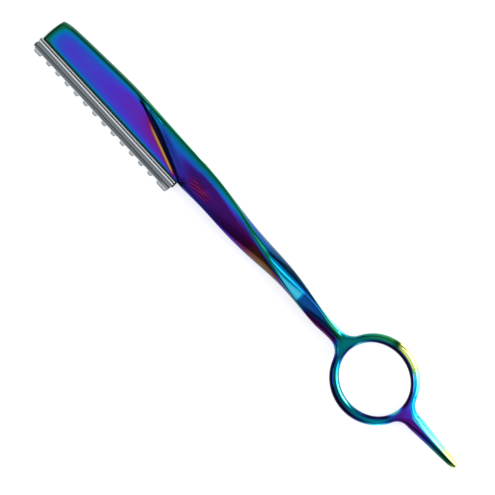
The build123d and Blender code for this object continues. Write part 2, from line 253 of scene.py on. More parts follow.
def head_rows(x):
    """For each x, the height y and the plate's depth z of the rows from slot edge to top."""
    face, flat, crease, top_start = FACE_ROWS
    top = between(TOP_EDGE, x)[:, :1]
    one = np.ones_like(top)
    upper = top - TOP_BEVEL
    share = (between(CREASE, x)[:, :1] - SLOT_BEVEL) / (upper - SLOT_BEVEL)
    share = np.clip(share, 0.06, 0.95)
    share = share + (0.6 - share) * (1 - soft_step(x[:, None], 8, 32))
    turn = np.radians(90) * np.arange(1, flat - face + 1) / (flat - face)
    turn_top = np.radians(90) * np.arange(1, SIDE - top_start + 1) / (SIDE - top_start)
    bottom = np.linspace(0, 1, face + 1)
    fraction = np.hstack([one * 0, share * spread(crease - flat),
                          share + (1 - share) * spread(top_start - crease)])
    flat_y = SLOT_BEVEL + (upper - SLOT_BEVEL) * fraction
    flat_z = HEAD_HALF + CROWN * np.sin(np.pi * fraction)
    y = np.hstack([one * 0 * bottom, one * SLOT_BEVEL * (1 - np.cos(turn))[:-1], flat_y,
                   upper + TOP_BEVEL * np.sin(turn_top)])
    z = np.hstack([one * bottom * (HEAD_HALF - SLOT_BEVEL),
                   one * (HEAD_HALF - SLOT_BEVEL + SLOT_BEVEL * np.sin(turn))[:-1], flat_z,
                   one * HEAD_HALF * np.cos(turn_top)])
    return y, z


def section_depth(x, y):
    """How far the shank's section at x reaches forwards at the height y."""
    angle = np.linspace(np.pi, 0, 361)
    loop = bar_loop(SHANK, x, angle)
    return np.array([np.interp(row, line[:, 1], line[:, 2]) for row, line in zip(y, loop)])


# %% [markdown]
# The tip is rounded off by loops that stand on the tip's line and grow from nothing to the full
# depth.  At the heel the loops pass over into the shank's own.

# %% Head and shank loops
TIP_BEND = (0.01623, -0.0698)  # the tip's line is x = a y^2 + b y
TIP_BEND_END = 6
TIP_ROUND = 1.3
TIP_FACE = 0.5                 # share of the depth that is flat at the tip

tip_turn = np.radians(np.arange(0, 91, 9))
tip_x = np.concatenate([[0, 0.01, 0.03], 0.06 + TIP_ROUND * (1 - np.cos(tip_turn))])
tip_depth = np.concatenate([np.array([0, 0.2, 0.4]), TIP_FACE + (1 - TIP_FACE) * np.sin(tip_turn)])
head_x = np.concatenate([tip_x, np.arange(1.5, 63.4, 0.22)])
head_depth = np.concatenate([tip_depth, np.ones(len(head_x) - len(tip_x))])


def head_loops():
    """y is that of the rows.  z = plate + (section - plate) * s, where s steps from 0 to 1 across
    the crease, over a width that is more where the crease begins, and the section counts as 0.3
    mm above the plate at most.  x is the place plus the tip's bend, which dies out in 6 mm."""
    y, plate = head_rows(head_x)
    crease = between(CREASE, head_x)[:, :1]
    across = (y - crease) * CREASE_SQUARE
    start = head_x[:, None]
    width = CREASE_WIDTH + CREASE_EXTRA * (1 - soft_step(start, *EXTRA_ENDS))
    step = soft_step(across, 0, width) * soft_step(start, *STEP_GROWS)
    section = section_depth(head_x, y)
    z = plate + (np.minimum(section, plate + STEP_RISE) - plate) * step
    z = z * head_depth[:, None]
    x = head_x[:, None] + (TIP_BEND[0] * y * y + TIP_BEND[1] * y) * (
        1 - soft_step(head_x, 0, TIP_BEND_END)[:, None])
    front = np.stack([x, y, z], axis=-1)
    back = front[:, 1:-1][:, ::-1] * np.array([1, 1, -1])
    loops = np.concatenate([front, back], axis=1)
    passed = soft_step(head_x, *HEAD_TO_SHANK)[:, None, None]
    return loops * (1 - passed) + bar_loop(SHANK, head_x, LOOP_ANGLE) * passed


shank_x = np.concatenate([np.arange(head_x[-1] + 0.3, NECK_X - 0.2, 0.5), [NECK_X]])
bar_points = np.concatenate([head_loops(), bar_loop(SHANK, shank_x, LOOP_ANGLE)])
neck_loop = bar_points[-1]
print("head and shank loops:", bar_points.shape)

# %% [markdown]
# ## The finger ring
# The ring is a band between two ovals, with hollow flares where the shank runs into it and where
# the tail leaves it.  Seen from the ring's middle, its outer edge is a distance for each
# direction, so the band is a grid of rays.  Its depth is an oval rounding at each edge:
# H * g(d/w), where d is the distance to the edge, w the width of the rounding and
# g(t) = sqrt(1 - (1 - t)^2).  The rays that look along the shank and along the tail start on the
# last loop of those bars, so that the whole handle is one closed skin.

# %% Ring outlines
RING_CENTRE = np.array([147.45, 3.75])
OUTER_OVAL = (29.1 / 2, 27.86 / 2)
BORE_OVAL = (23.8 / 2, 21.2 / 2)
RING_TURN = np.radians(-5.6)
RING_HALF = 1.6
TAIL_X = 165.6
ARC_STEPS = 150
BAND_STEPS = 20
NECK_HALVES, NECK_FLARE = (2.65, 1.85), 5.2       # the neck's sides above and below; corner radius
TAIL_HALF, TAIL_FLARE = 2.55, 4.2
BAR_HALF = (2.1, 1.95)         # half the depth where the ring meets the neck, and the tail
BAR_SLOPE = (0.07, -0.05)      # how that half depth changes there, per mm
BAR_ROUND = (2.25, 2.55)       # width of the rounding there
FLARE_START = 14.7             # distance from the ring's middle where the bars' depth begins
EDGE_SPAN = (122, 172)         # x between which the outer edge is kept


def oval_reach(oval, angle):
    """Distance from an oval's middle to its line, in each direction."""
    a, b = oval
    turned = angle - RING_TURN
    return a * b / np.hypot(b * np.cos(turned), a * np.sin(turned))


def flared_reach(angle, side_angle, half, radius):
    """The outer oval's distance, or that of a bar's side at the given half height, whichever is
    more, with a hollow corner of the given radius between them.  side_angle is the angle from
    the bar's own direction."""
    reach = oval_reach(OUTER_OVAL, angle)
    corner_y = half + radius
    corner_x = np.sqrt((OUTER_OVAL[0] - 0.05 + radius) ** 2 - corner_y ** 2)
    along = corner_x * np.cos(side_angle) + corner_y * np.sin(side_angle)
    inside = along ** 2 - corner_x ** 2 - corner_y ** 2 + radius ** 2
    hollow = along - np.sqrt(np.maximum(inside, 0))
    bar = half / np.maximum(np.sin(side_angle), 1e-6)
    touch_bar = np.arctan2(half, corner_x)
    touch_ring = np.arctan2(corner_y, corner_x)
    reach = np.where(side_angle < touch_ring, hollow, reach)
    return np.where(side_angle < touch_bar, bar, reach)


def ring_reach(angle):
    """The distance to the outer edge in each direction, with the four flares."""
    from_neck = np.pi - np.abs(angle)
    neck_half = np.where(angle > 0, *NECK_HALVES)
    neck = flared_reach(angle, from_neck, neck_half, NECK_FLARE)
    tail = flared_reach(angle, np.abs(angle), TAIL_HALF, TAIL_FLARE)
    return np.where(from_neck < np.pi / 2, neck, tail)


# %% Rays of the ring
def ring_grid(neck_loop, tail_loop):
    """Rows are rays, columns run from the outer edge over the front to the bore and back."""
    ends = np.arange(ARC_STEPS + 1) / ARC_STEPS
    ends = ends - 0.6 * np.sin(2 * np.pi * ends) / (2 * np.pi)
    neck_y, tail_y = (loop[:SIDE + 1, 1] - RING_CENTRE[1] for loop in (neck_loop, tail_loop))
    neck_angle = np.arctan2(neck_y, NECK_X - RING_CENTRE[0])
    tail_angle = np.arctan2(tail_y, TAIL_X - RING_CENTRE[0])
    lower = neck_angle[0] + (tail_angle[0] - neck_angle[0]) * ends
    upper = tail_angle[-1] + (neck_angle[-1] - tail_angle[-1]) * ends
    angle = np.concatenate([lower[:-1], tail_angle, upper[1:-1], neck_angle[::-1]])
    in_tail = np.arange(ARC_STEPS, ARC_STEPS + SIDE + 1)
    in_neck = np.arange(len(angle) - SIDE - 1, len(angle))
    outer = ring_reach(angle)
    outer[in_tail] = np.hypot(TAIL_X - RING_CENTRE[0], tail_y)
    outer[in_neck] = np.hypot(NECK_X - RING_CENTRE[0], neck_y[::-1])
    inner = oval_reach(BORE_OVAL, angle)
    share = (1 + np.cos(np.pi * np.arange(BAND_STEPS + 1) / BAND_STEPS)) / 2
    reach = inner[:, None] + (outer - inner)[:, None] * share
    across = np.stack([np.cos(angle), np.sin(angle)], axis=-1)
    flat = RING_CENTRE + reach[..., None] * across[:, None, :]
    z = ring_depth(flat, angle, reach, inner)
    z[:, -1] = 0
    z[:, 0] = 0
    front = np.concatenate([flat, z[..., None]], axis=-1)
    back = front[:, :-1][:, ::-1] * np.array([1, 1, -1])
    grid = np.concatenate([front, back], axis=1)
    for rays, loop in ((in_tail, tail_loop), (in_neck[::-1], neck_loop)):
        grid[rays, 0] = loop[:SIDE + 1]
        grid[rays, -1] = np.concatenate([loop[:1], loop[SIDE + 1:][::-1], loop[SIDE:SIDE + 1]])
    return grid


def line_distance(points, line):
    """Distance to a line of many points: the nearest of them is found, and the point is dropped
    squarely on the stretches to its two neighbours."""
    nearest = ((points[:, :, None, :] - line) ** 2).sum(axis=-1).argmin(axis=-1)
    start, found = line[nearest], []
    for step in (-1, 1):
        stretch = line[np.clip(nearest + step, 0, len(line) - 1)] - start
        length = np.maximum((stretch ** 2).sum(axis=-1), 1e-12)
        t = np.clip(((points - start) * stretch).sum(axis=-1) / length, 0, 1)
        found.append(np.linalg.norm(points - start - t[..., None] * stretch, axis=-1))
    return np.minimum(*found)


def ring_depth(flat, angle, reach, inner):
    """Half the depth: H g(outer distance / w) g(bore distance / w), where H and w grow from those
    of the band to those of the bar along the two ends."""
    turn = np.linspace(-np.pi, np.pi, 2401)
    edge = RING_CENTRE + ring_reach(turn)[:, None] * np.stack([np.cos(turn), np.sin(turn)], -1)
    edge = edge[(edge[:, 0] > EDGE_SPAN[0]) & (edge[:, 0] < EDGE_SPAN[1])]
    away = line_distance(flat, edge)
    band = (oval_reach(OUTER_OVAL, angle) - inner)[:, None] / 2
    neck_side = np.cos(angle)[:, None] < 0
    bar_reach = np.where(neck_side, RING_CENTRE[0] - NECK_X, TAIL_X - RING_CENTRE[0])
    bar_half, end_slope = np.where(neck_side, *BAR_HALF), np.where(neck_side, *BAR_SLOPE)
    span = bar_reach - FLARE_START
    t = np.clip((reach - FLARE_START) / span, 0, 1)
    half = (RING_HALF + (bar_half - RING_HALF) * (3 - 2 * t) * t * t
            + end_slope * span * t * t * (t - 1))
    width = band + (np.where(neck_side, *BAR_ROUND) - band) * soft_step(reach, 14.0, 18.0)
    bore_away = reach - inner[:, None]

    def rounding(distance, width):
        return np.sqrt(1 - (1 - np.clip(distance / width, 0, 1)) ** 2)

    return half * rounding(away, width) * rounding(bore_away, band)


# %% [markdown]
# ## The tail
# The tail is a short bar with its ridge towards the viewer, drawn in to a blunt end.  It uses the
# shank's section, starting as a plain oval where the ring lets go of it.

# %% Tail loops, and the whole handle
TAIL = [  # x, lower edge, height, depth, turn of the first ridge, sharpness
    (162.0, 1.1, 5.3, 3.4, 90, 0.0),
    (165.6, 1.2, 5.1, 3.9, 90, 0.0),
    (168.5, 1.42, 4.7, 3.7, 90, 0.07),
    (173.5, 1.8, 3.95, 3.2, 90, 0.1),
    (180.0, 2.2, 3.15, 2.8, 90, 0.1),
    (182.6, 2.45, 2.75, 2.5, 90, 0.09),
    (184.0, 2.95, 1.9, 1.7, 90, 0.05),
    (184.42, 3.3, 1.1, 1.0, 90, 0.0),
    (184.5, 3.85, 0.0, 0.0, 90, 0.0),
]
tail_x = np.concatenate([np.arange(TAIL_X, 182.5, 0.5), np.linspace(182.6, 184.4, 16),
                         [184.46, 184.5]])
tail_points = bar_loop(TAIL, tail_x, LOOP_ANGLE)
ring_points = ring_grid(neck_loop, tail_points[0])


def join_grids(*grids):
    """Several grids of points as one list of points and one of faces.  Each comes with whether its
    rows and its columns close up."""
    points, faces, start = [], [], 0
    for grid, wrap_rows, wrap_columns in grids:
        rows, columns = grid.shape[:2]
        points.append(grid.reshape(-1, 3))
        faces.append(grid_faces(rows, columns, wrap_rows, wrap_columns) + start)
        start += rows * columns
    return np.concatenate(points), np.concatenate(faces)


handle = welded_piece("handle_skin", *join_grids(
    (bar_points, False, True), (ring_points, True, False), (tail_points, False, True)))

# %% [markdown]
# ## The blade slot
# The blade lies in a slot that is narrow for the strip and wider for its folded spine, open
# at the tip.  A cut like this is quickest as a Boolean: a keyhole-shaped bar is taken
# away from the head, and the result is kept as the mesh.

# %% Cut the slot
STRIP_SLOT_HALF = 0.205
SPINE_SLOT_HALF = 0.555
SLOT_TOP = 5.56
SPINE_SLOT_LOW = 2.4
SLOT_END = 60.8


def profile_bar(profile, x_start, x_end):
    """A closed line of (y, z) points carried straight along x, with a flat face at each end."""
    profile = np.array(profile, dtype=float)
    count = len(profile)
    ends = [np.column_stack([np.full(count, x), profile]) for x in (x_start, x_end)]
    sides = grid_faces(2, count, wrap_columns=True).tolist()
    return np.concatenate(ends), sides + [list(range(count)), list(range(count, 2 * count))[::-1]]


def bar_piece(name, bars, sharp_angle=35):
    """Profile bars as one piece: each is (profile, start, end)."""
    points, faces, start = [], [], 0
    for profile, x_start, x_end in bars:
        bar, sides = profile_bar(profile, x_start, x_end)
        faces += [[corner + start for corner in face] for face in sides]
        points.append(bar)
        start += len(bar)
    return new_piece(name, np.concatenate(points), faces, sharp_angle)


def mirrored(half_profile):
    """A line of (y, z) points and its mirror image across the middle plane, as one closed line."""
    return list(half_profile) + [(y, -z) for y, z in reversed(half_profile)]


def bake_modifiers(piece):
    """The piece's mesh is replaced by the one its modifiers give."""
    graph = bpy.context.evaluated_depsgraph_get()
    plain, baked = piece.data, bpy.data.meshes.new_from_object(piece.evaluated_get(graph))
    piece.modifiers.clear()
    piece.data = baked
    bpy.data.meshes.remove(plain)
    baked.name = piece.name


slot_cutter = bar_piece("slot_cutter", [(mirrored([
    (-1.0, STRIP_SLOT_HALF), (SPINE_SLOT_LOW, STRIP_SLOT_HALF), (SPINE_SLOT_LOW, SPINE_SLOT_HALF),
    (SLOT_TOP, SPINE_SLOT_HALF)]), -2.0, SLOT_END)])
cut = handle.modifiers.new("blade_slot", "BOOLEAN")
cut.operation, cut.object, cut.solver = "DIFFERENCE", slot_cutter, "EXACT"
bake_modifiers(handle)
bpy.data.objects.remove(slot_cutter)
finish_mesh(handle.data, 40)

# %% [markdown]
# Below the slot edge runs a rail with a foot, which the guard's hems hook over.  Its section is
# carried along the head, once on each side of the slot, and a short block closes the slot behind.

# %% Rail
RAIL_START, RAIL_END = 0.6, 61.2
RAIL_SIDE = [(1.2, 0.755), (-0.68, 0.755), (-0.74, 0.815), (-0.74, 0.98), (-0.82, 1.055),
             (-2.06, 1.055), (-2.14, 0.975), (-2.14, 0.26), (-2.09, 0.205), (1.2, 0.205)]


far_side = [(y, -z) for y, z in RAIL_SIDE]
rail_end = mirrored([(1.2, 0.755), (-2.06, 0.755), (-2.14, 0.675)])
rail = bar_piece("guard_rail", [(RAIL_SIDE, RAIL_START, RAIL_END - 0.2),
                                (far_side, RAIL_START, RAIL_END - 0.2),
                                (rail_end, SLOT_END, RAIL_END)])

# %% [markdown]
# ## The comb guard
# The guard is one strip of sheet steel, folded double with a rolled hem along each edge, its fold
# cut into rounded teeth.  Each leaf is a surface of two parameters: the place along the
# razor, and the way down the folded profile from the hem to the nose.  Where a gap is cut, the
# way down stops early.  The same profile moved in by the sheet's thickness gives the inner face.

# %% Guard profile
SHEET = 0.35
BEAD_Y, BEAD_Z, BEAD_RADIUS = -0.37, 1.125, 0.27
GAP_Y = -3.72
TOOTH_PITCH, GAP_WIDTH, GAPS = 4.2, 2.2, 13
TOOTH_ROUND = 0.75
TOOTH_TIP_Y = -4.82
guard_low, guard_high = (np.array(corner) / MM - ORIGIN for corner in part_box("comb_guard"))
GUARD_START, GUARD_END = guard_low[0], guard_high[0]
FRONT_SLANT = 1.1

PROFILE_TURN = np.radians(np.arange(165, -61, -15))
leaf_profile = np.concatenate([
    np.stack([BEAD_Y + BEAD_RADIUS * np.sin(PROFILE_TURN),
              BEAD_Z + BEAD_RADIUS * np.cos(PROFILE_TURN)], axis=-1),
    np.array([(-0.74, 1.27), (-0.86, 1.3), (-0.98, 1.4), (-1.1, 1.48), (-1.2, 1.505),
              (-1.6, 1.505), (-2.1, 1.505), (-2.58, 1.505), (-2.68, 1.48), (-2.76, 1.4),
              (-2.84, 1.385), (-2.96, 1.33), (-3.3, 1.115), (-3.72, 0.85), (-4.05, 0.735),
              (-4.4, 0.62), (-4.58, 0.53), (-4.72, 0.39), (-4.8, 0.2), (-4.82, 0.02)])])
LEAF_STEPS = 64
# how far down the profile each of its points is, from 0 to 1
PROFILE_RUN = np.concatenate([[0], np.cumsum(np.hypot(*np.diff(leaf_profile, axis=0).T))])
PROFILE_RUN /= PROFILE_RUN[-1]
FOOT_BAND = (-2.24, -0.74)     # heights between which a leaf passes the rail's foot
FOOT_CLEAR = 1.155             # how near the middle its inner face may come there
FOLD_GAP = 0.006               # and elsewhere
HEM_TAPER = 0.09               # share of the leaf over which the sheet reaches its thickness
SHEET_SHARE = 0.98             # how much of that thickness the leaf has
LOOK_AHEAD = 0.012             # share of the leaf before and behind a point that gives its slope


def guard_profile(share):
    """The point on the leaf's outer line at a share of its length, and the way outwards there."""
    at = np.stack([np.interp(share, PROFILE_RUN, leaf_profile[:, i]) for i in (0, 1)], axis=-1)
    ahead, behind = (np.stack([np.interp(share + off, PROFILE_RUN, leaf_profile[:, i])
                               for i in (0, 1)], axis=-1) for off in (LOOK_AHEAD, -LOOK_AHEAD))
    way = ahead - behind
    length = np.maximum(np.hypot(way[..., 0], way[..., 1]), 1e-6)
    return at, np.stack([way[..., 1], -way[..., 0]], axis=-1) / length[..., None]


def share_at_height(y):
    """How far down the profile the height y is reached, below the hem."""
    lower = leaf_profile[:, 0] < -0.8
    return np.interp(-y, -leaf_profile[lower, 0], PROFILE_RUN[lower])


# %% Teeth, and both leaves
def tooth_stations():
    """Places along the guard and the height where the sheet ends there.  A tooth's side stands
    upright, so its place comes twice: once for the gap and once for the tooth."""
    middle = (GUARD_START + GUARD_END) / 2
    gaps = middle + TOOTH_PITCH * (np.arange(GAPS) - (GAPS - 1) / 2)
    starts = np.concatenate([[GUARD_START + FRONT_SLANT], gaps + GAP_WIDTH / 2])
    ends = np.concatenate([gaps - GAP_WIDTH / 2, [GUARD_END]])
    turn = np.radians(np.arange(0, 91, 15))
    round_x, round_y = TOOTH_ROUND * (1 - np.cos(turn)), TOOTH_ROUND * (1 - np.sin(turn))
    x = np.hstack([starts[:, None], starts[:, None] + round_x,
                   ends[:, None] - round_x[::-1], ends[:, None]]).reshape(-1)
    y = np.concatenate([[GAP_Y], TOOTH_TIP_Y + round_y, TOOTH_TIP_Y + round_y[::-1], [GAP_Y]])
    return np.append(GUARD_START, x), np.append(GAP_Y, np.tile(y, len(starts)))


def leaf(side):
    """One closed leaf: the outer face down to the sheet's end, and the inner face back up, which
    is the outer one moved in by the sheet, and held off the middle plane and the rail's foot.  At
    the corner where the foot begins, the two still touch."""
    x, end_y = tooth_stations()
    stop = share_at_height(end_y)[:, None]
    stop = np.where(end_y[:, None] <= TOOTH_TIP_Y + 0.01, 1.0, stop)
    share = stop * np.arange(LEAF_STEPS + 1) / LEAF_STEPS
    outer, way = guard_profile(share)
    inner = outer - way * SHEET * soft_step(share, 0.0, HEM_TAPER)[..., None] * SHEET_SHARE
    beside_foot = (inner[..., 0] > FOOT_BAND[0]) & (inner[..., 0] < FOOT_BAND[1])
    inner[..., 1] = np.maximum(inner[..., 1], np.where(beside_foot, FOOT_CLEAR, FOLD_GAP))
    slant = FRONT_SLANT * np.clip((-outer[..., 0] - 0.9) / (-GAP_Y - 0.9), 0, 1)
    lean = slant * (1 - soft_step(x, GUARD_START, GUARD_START + FRONT_SLANT + 0.05))[:, None]
    x = x[:, None] + np.where(x[:, None] == GUARD_START, lean, 0)
    lines = [np.stack([x + 0 * line[..., 0], line[..., 0], side * line[..., 1]], axis=-1)
             for line in (outer, inner[:, ::-1])]
    loops = np.concatenate(lines, axis=1)
    rows, columns = loops.shape[:2]
    faces = grid_faces(rows, columns, wrap_columns=True)
    number = np.arange(columns // 2)
    caps = []
    for row in (0, rows - 1):
        a = row * columns + number
        b = row * columns + columns - 1 - number
        caps.append(np.stack([a[:-1], a[1:], b[1:], b[:-1]], axis=-1))
    return loops.reshape(-1, 3), np.concatenate([faces] + caps)


front_leaf, back_leaf = leaf(1), leaf(-1)
guard = welded_piece(
    "folded_comb_guard", np.concatenate([front_leaf[0], back_leaf[0]]),
    np.concatenate([front_leaf[1], back_leaf[1] + len(front_leaf[0])]))

# %% [markdown]
# ## The blade
# The strip is ground to a wedge along its lower edge, and a thin sheet is folded over its back to
# stiffen it.  Both are plain profiles carried along the blade.  A small bevel at every corner
# catches the light.

# %% Strip and spine
STRIP_HALF = 0.125
EDGE_Y = -3.97
strip = bar_piece("ground_strip", [(mirrored([
    (BLADE_BACK_Y, 0.085), (BLADE_BACK_Y - 0.04, STRIP_HALF), (EDGE_Y + 1.05, STRIP_HALF),
    (EDGE_Y + 0.95, STRIP_HALF - 0.012), (EDGE_Y + 0.16, 0.03), (EDGE_Y + 0.02, 0.008)]),
    BLADE_START, BLADE_STOP)], 20)

SPINE_TOP, SPINE_LOW, SPINE_SHEET = 5.48, 2.48, 0.35
fold = np.radians(np.arange(90, -1, -15))
fold_outer = [(SPINE_TOP - SPINE_SHEET * (1 - np.sin(a)), STRIP_HALF + SPINE_SHEET * np.cos(a))
              for a in fold]
spine_half = [(BLADE_BACK_Y + 0.002, STRIP_HALF + 0.002), (SPINE_LOW + 0.03, STRIP_HALF + 0.002),
              (SPINE_LOW, STRIP_HALF + 0.03), (SPINE_LOW, STRIP_HALF + SPINE_SHEET - 0.04),
              (SPINE_LOW + 0.04, STRIP_HALF + SPINE_SHEET)] + fold_outer[::-1]
spine = bar_piece("folded_spine", [(mirrored(spine_half), BLADE_START, BLADE_STOP)], 25)

# %% [markdown]
# ## The rainbow coating, and painted light and shade
# The handle is polished steel with a vapour-deposited film, whose thickness decides its colour.
# On the flats it comes out violet and blue, and along ridges and edges teal, green and gold.
# Each point of the skin gets two numbers, kept as mesh attributes: its film, which a ramp
# turns into a colour, and its tone, which is painted light and shade: painted shade deepens the
# colours on the flanks, along edges and in dark lines, and painted highlights and reflections pale
# them in bright patches.  Both are worked out from the tilt of the skin, from its place between
# the ridges, and along the razor.  The painted highlights and shade stay where they are on the
# metal when the view turns.

# %% Film and painted shading along the razor
HEAD_FILM = 0.27
# The tone columns are painted shading: painted highlights above 1, painted shade below.
SHANK_FILM_AND_SHADING = [  # x; film of the faces below, above and behind the first ridge; then their tones
    (30.0, 0.44, 0.46, 0.5, 0.9, 0.9, 0.9),
    (52.0, 0.4, 0.46, 0.5, 0.85, 0.9, 0.9),
    (60.0, 0.28, 0.46, 0.4, 0.6, 0.8, 0.5),
    (66.0, 0.24, 0.42, 0.3, 0.42, 0.7, 0.4),
    (72.0, 0.22, 0.34, 0.3, 0.38, 0.55, 0.4),
    (82.0, 0.19, 0.33, 0.2, 0.34, 0.4, 0.4),
    (88.0, 0.15, 0.38, 0.3, 0.34, 0.45, 0.4),
    (94.0, 0.06, 0.44, 0.38, 0.3, 0.5, 0.5),
    (100.0, 0.03, 0.46, 0.46, 0.2, 0.5, 0.6),
    (107.0, 0.1, 0.48, 0.5, 0.25, 0.5, 0.6),
    (115.0, 0.2, 0.42, 0.58, 0.3, 0.55, 1.3),
    (122.0, 0.2, 0.42, 0.56, 0.3, 0.45, 2.9),
    (130.0, 0.17, 0.5, 0.54, 0.3, 0.5, 2.9),
]
# The three tone columns are painted shading: painted highlights above 1, painted shade below.
RING_FILM_AND_SHADING = [  # degrees round the ring from the tail; film at the bore, midway and outside; tones
    (-199, 0.55, 0.6, 0.6, 2.8, 0.9, 0.9), (-188, 0.4, 0.6, 0.6, 0.6, 0.9, 0.9),
    (-175, 0.3, 0.6, 0.58, 0.5, 0.8, 0.8), (-160, 0.45, 0.56, 0.3, 1.5, 0.5, 0.2),
    (-146, 0.53, 0.58, 0.2, 2.6, 0.45, 0.08), (-125, 0.55, 0.62, 0.2, 2.9, 0.5, 0.07),
    (-90, 0.56, 0.64, 0.18, 2.9, 0.5, 0.08), (-74, 0.5, 0.6, 0.3, 1.2, 0.7, 0.15),
    (-56, 0.3, 0.56, 0.5, 0.15, 0.8, 0.6), (-38, 0.25, 0.54, 0.55, 0.15, 0.8, 2.6),
    (-24, 0.3, 0.46, 0.4, 0.3, 0.5, 0.5), (-15, 0.55, 0.3, 0.25, 2.8, 0.5, 0.5),
    (-5, 0.55, 0.22, 0.22, 2.7, 0.6, 0.6), (3, 0.2, 0.22, 0.3, 0.4, 0.6, 0.8),
    (14, 0.14, 0.3, 0.5, 0.06, 0.7, 1.8), (27, 0.12, 0.5, 0.54, 0.05, 1.5, 2.6),
    (40, 0.15, 0.56, 0.56, 0.05, 2.2, 2.85), (50, 0.15, 0.64, 0.62, 0.05, 2.7, 3.0),
    (58, 0.15, 0.8, 0.78, 0.05, 2.7, 3.0), (66, 0.15, 0.9, 0.93, 0.05, 1.8, 2.2),
    (90, 0.18, 0.92, 0.95, 0.05, 1.3, 1.6), (99, 0.2, 0.86, 0.94, 0.05, 0.9, 1.6),
    (104, 0.2, 0.72, 0.8, 0.06, 0.4, 0.5), (116, 0.25, 0.72, 0.77, 0.1, 1.2, 1.5),
    (140, 0.4, 0.7, 0.7, 0.3, 1.2, 1.3), (152, 0.5, 0.66, 0.64, 1.2, 1.0, 1.0),
    (161, 0.55, 0.6, 0.6, 2.8, 0.9, 0.9), (172, 0.4, 0.6, 0.6, 0.6, 0.9, 0.9),
    (185, 0.3, 0.6, 0.58, 0.5, 0.8, 0.8),
]
# The two tone columns are painted shading: a painted highlight on the upper face, painted shade on
# the lower.
TAIL_FILM_AND_SHADING = [  # x, upper film, lower film, upper tone, lower tone
    (158.0, 0.3, 0.2, 0.8, 0.5), (163.0, 0.53, 0.18, 2.4, 0.4), (168.0, 0.56, 0.22, 2.65, 0.35),
    (172.0, 0.58, 0.34, 2.8, 0.3), (176.0, 0.66, 0.55, 3.0, 0.3), (179.0, 0.84, 0.66, 2.8, 0.35),
    (181.5, 0.93, 0.72, 1.7, 0.4), (185.0, 0.97, 0.95, 1.2, 0.9),
]


def mix(a, b, share):
    """a where the share is 0, b where it is 1."""
    return a + (b - a) * share


def head_film_and_shading(points):
    """Violet on the flat, bluer within 3 mm of the outline and green at it, magenta and then gold
    towards the crease.  Painted shade darkens the top, the tip and the slot edge."""
    x, y = points[:, 0], points[:, 1]
    top = between(TOP_EDGE, x)[:, 0] - y
    tip = x - 0.07 * y
    crease = (between(CREASE, x)[:, 0] - y) * CREASE_SQUARE
    film = HEAD_FILM + 0.13 * np.exp(-(tip / 4.5) ** 2) + 0.36 * np.exp(-(tip / 1.9) ** 2)
    film += 0.14 * np.exp(-(top / 3.2) ** 2) + 0.34 * np.exp(-(top / 1.7) ** 2)
    film += 0.1 * np.exp(-(y / 2.0) ** 2) + 0.26 * np.exp(-(y / 0.75) ** 2)
    film = np.minimum(film, 0.74)
    toward = soft_step(x, 16, 38) * np.exp(-(np.maximum(crease, 0) / 4.4) ** 2)
    film = film - 0.1 * toward * soft_step(top, 1.2, 3.0)
    line = np.exp(-((crease - 0.65) / 0.55) ** 2)
    line = line * soft_step(x, 37, 46) * (1 - soft_step(x, 56, 62))
    film = mix(film, 0.0, line)
    # painted shade along the top, the tip and the slot edge
    painted_shading = 1 - 0.6 * np.exp(-(top / 0.9) ** 2) - 0.5 * np.exp(-(tip / 0.9) ** 2)
    painted_shading = painted_shading - 0.9 * np.exp(-(y / 0.4) ** 2)
    return film, np.clip(painted_shading, 0.08, 1), crease


def shank_film_and_shading(points, normals):
    """Each face between two ridges has its own film and painted shading along x, and towards a
    ridge both pass over to a green line, which is narrower near the neck.  Over that come a painted
    highlight line at x = 77, a band along the upper outline with a painted highlight, the patches
    below, and painted shade on the upper flank from x = 93 to 120."""
    low, height, depth, ridge, _ = between(SHANK, points[:, 0]).T
    angle = np.arctan2(normals[:, 2] * depth, normals[:, 1] * height)
    turn = (np.degrees(angle) - ridge) % 360
    faces = between(SHANK_FILM_AND_SHADING, points[:, 0])
    which = np.where(turn < 120, 0, np.where(turn > 240, 1, 2))
    pick = np.arange(len(points))
    film, painted_shading = faces[pick, which], faces[pick, which + 3]
    x, y = points[:, 0], points[:, 1]
    near = soft_step(np.cos(np.radians(3 * turn)), -0.6, 0.95) ** (1 + 3 * soft_step(x, 106, 116))
    near = near * (1 - np.exp(-((turn - 120) / 42) ** 2)) * soft_step(x, 60, 70)
    # painted highlight: a short bright line along the upper ridge near x = 77
    painted_glint = np.exp(-((x - 77) / 3.4) ** 2 - ((y - 9.6 + 0.23 * (x - 74.5)) / 0.3) ** 2)
    film, painted_shading = mix(film, 0.72, near), mix(painted_shading, 0.95, near) + 2.2 * painted_glint
    ridge_line = low + height / 2 * (1 + 1.1 * np.cos(np.radians(ridge)))
    top = np.where(x < 64, between(TOP_EDGE, x)[:, 0], ridge_line) - y
    # the band along the upper outline has its own film and a painted highlight in its shading
    band = between(TOP_BAND, np.maximum(top, 0) * (1 + 0.5 * soft_step(x, 62, 78)))
    share = 1 - soft_step(top, 2.8 - 0.8 * soft_step(x, 62, 78), 4.6 - 1.9 * soft_step(x, 54, 70))
    share = share * (1 - soft_step(x, 74, 88)) * soft_step(top, -0.9, -0.3)
    film, painted_shading = mix(film, band[:, 0], share), mix(painted_shading, band[:, 1], share)
    film, painted_shading = ripples(x, y, film, painted_shading)
    film, painted_shading = neck_shade(x, y, film, painted_shading)
    film, painted_shading = painted_window_reflection(x, y, turn, film, painted_shading)
    # painted shade on the upper flank from x = 93 to 120
    rim_angle = 88 - 1.4 * (x - 100)
    shade = 1 - soft_step(np.abs(np.degrees(angle)), rim_angle - 3, rim_angle + 3)
    shade = shade * soft_step(x, 93, 99) * (1 - soft_step(x, 116, 120)) * (turn > 240)
    return film, painted_shading * (1 - 0.5 * shade)


